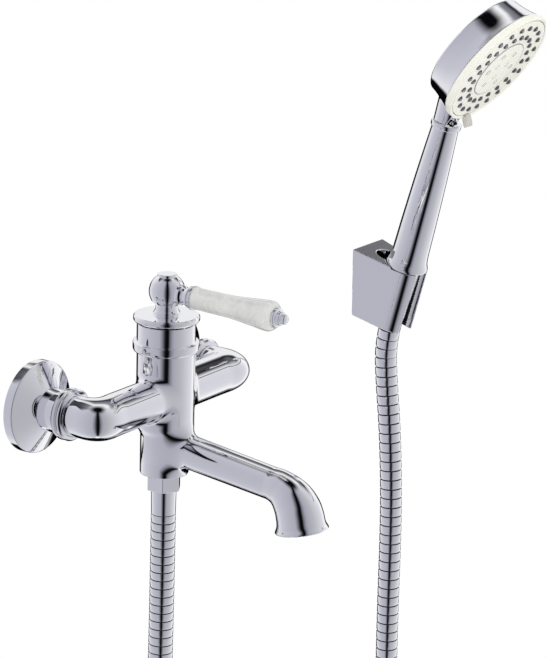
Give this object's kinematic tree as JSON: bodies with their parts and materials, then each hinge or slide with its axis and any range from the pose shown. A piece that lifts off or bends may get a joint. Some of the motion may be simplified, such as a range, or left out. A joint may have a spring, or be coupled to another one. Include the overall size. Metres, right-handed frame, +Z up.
{
  "type": "mixer tap",
  "caption": "Wall-mounted single-lever bath mixer in chrome with a ceramic lever, fixed spout, ringed hose and a hand shower in its wall holder",
  "frame": {"origin": "on the wall surface, midway between the two inlets", "axes": "+X right along the wall as a user faces it, +Y into the wall, +Z up"},
  "size_m": [0.4921, 0.2014, 0.9585],
  "materials": {
    "chrome": "polished",
    "brass": "machined",
    "steel": "bright",
    "ceramic": "glazed white ceramic",
    "rubber": "matte",
    "inner_plastic": "moulded",
    "ivory_plastic": "satin",
    "grey_plastic": "moulded",
    "nozzle_rubber": "soft silicone"
  },
  "bodies": {
    "mixer_and_holder": {"main_body": "chrome", "wall_flange_left": "chrome", "wall_flange_right": "chrome", "wall_union_left": "chrome", "wall_union_right": "chrome", "union_nut_left": "chrome", "union_nut_right": "chrome", "cartridge_cover": "chrome", "hose_nut": "chrome", "hose_ferrule_tap": "chrome", "hose": "chrome", "holder_block": "chrome", "diverter_bush": "chrome", "aerator_shell": "chrome", "inlet_nipple_left": "brass", "inlet_nipple_right": "brass", "cartridge_nut": "brass", "shower_nipple": "brass", "inlet_filter_left": "steel", "inlet_filter_right": "steel", "holder_grub": "steel", "holder_plate": "steel", "ceramic_disc_fixed": "ceramic", "union_seal_left": "rubber", "union_seal_right": "rubber", "cartridge_seals": "rubber", "aerator_seal": "rubber", "hose_washer_tap": "rubber", "diverter_seal": "rubber", "cartridge_body": "inner_plastic", "aerator_insert": "inner_plastic", "check_valve": "inner_plastic"},
    "swivel": {"cartridge_collar": "inner_plastic", "stem_pin": "steel"},
    "mixing_disc": {"ceramic_disc_moving": "ceramic", "disc_carrier": "inner_plastic"},
    "lever": {"cartridge_stem": "steel", "handle_head": "chrome", "top_button": "chrome", "grub_screw": "steel", "lever_boss": "chrome", "lever_rod": "steel", "ceramic_grip": "ceramic", "lever_finial": "chrome"},
    "diverter": {"diverter_knob": "chrome", "diverter_spindle": "steel", "diverter_disc": "brass"},
    "handset": {"handle": "chrome", "neck_ring": "chrome", "head_shell": "chrome", "waterway_insert": "inner_plastic", "face_plate": "ivory_plastic", "nozzle_mat": "nozzle_rubber", "centre_disc": "ivory_plastic", "hose_cone_nut": "chrome", "hose_washer_handset": "rubber", "hose_ferrule_handset": "chrome"},
    "selector": {"selector_ring": "ivory_plastic", "selector_tab": "grey_plastic"}
  },
  "joints": [
    {"name": "lever_swivel", "type": "hinge", "parent": "mixer_and_holder", "child": "swivel", "pos_m": [0, -0.0545, 0.038], "axis": [0, 0, 1], "range_deg": [-50, 50]},
    {"name": "lever_lift", "type": "hinge", "parent": "swivel", "child": "lever", "pos_m": [0, -0.0545, 0.038], "axis": [-1, 0, 0], "range_deg": [0, 12]},
    {"name": "disc_slide", "type": "slide", "parent": "swivel", "child": "mixing_disc", "axis": [0, -1, 0], "range_m": [0, 0.00275]},
    {"name": "diverter_pull", "type": "slide", "parent": "mixer_and_holder", "child": "diverter", "axis": [1, 0, 0], "range_m": [0, 0.008]},
    {"name": "handset_lift", "type": "slide", "parent": "mixer_and_holder", "child": "handset", "axis": [0, -0.2487, 0.9686], "range_m": [0, 0.07], "deforming": ["hose"]},
    {"name": "selector_turn", "type": "hinge", "parent": "handset", "child": "selector", "pos_m": [0.336, -0.1095, 0.182], "axis": [0, -0.8261, -0.5635], "range_deg": [-25, 25]}
  ],
  "couplings": [
    {"joint": "disc_slide", "follows": "lever_lift", "m_per_rad": 0.0129}
  ]
}
